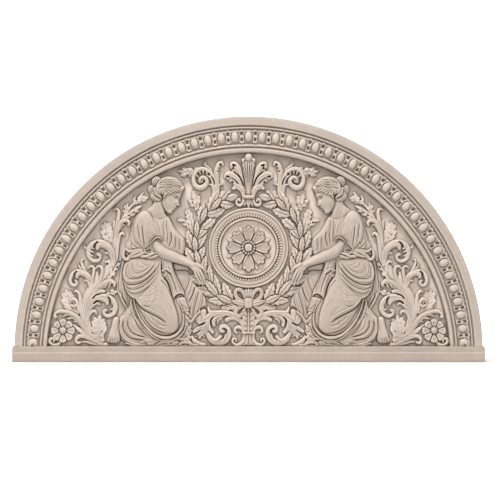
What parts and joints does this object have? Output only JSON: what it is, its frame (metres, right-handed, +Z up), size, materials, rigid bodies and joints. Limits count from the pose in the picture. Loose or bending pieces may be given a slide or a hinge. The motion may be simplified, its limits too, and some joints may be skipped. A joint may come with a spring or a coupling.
{
  "type": "tympanum panel",
  "caption": "Half-round carved stone tympanum: egg-and-dart arch over a relief of kneeling draped figures, laurel wreath, rosette medallion and leaf scrolls, on a plain sill.",
  "frame": {"origin": "centre of the arch's circle, on the back plane that lies against the wall", "axes": "+X to the object's right seen from the front, +Z up, the carved front faces -Y and the back face is the plane y = 0"},
  "size_m": [1.8, 0.1268, 0.9353],
  "materials": {
    "carved_stone": "matt, fine-grained warm beige stone",
    "sill_stone": "matt, fine-grained warm beige stone"
  },
  "bodies": {
    "root": {"tympanum_panel": "carved_stone", "base_sill": "sill_stone"}
  },
  "joints": []
}
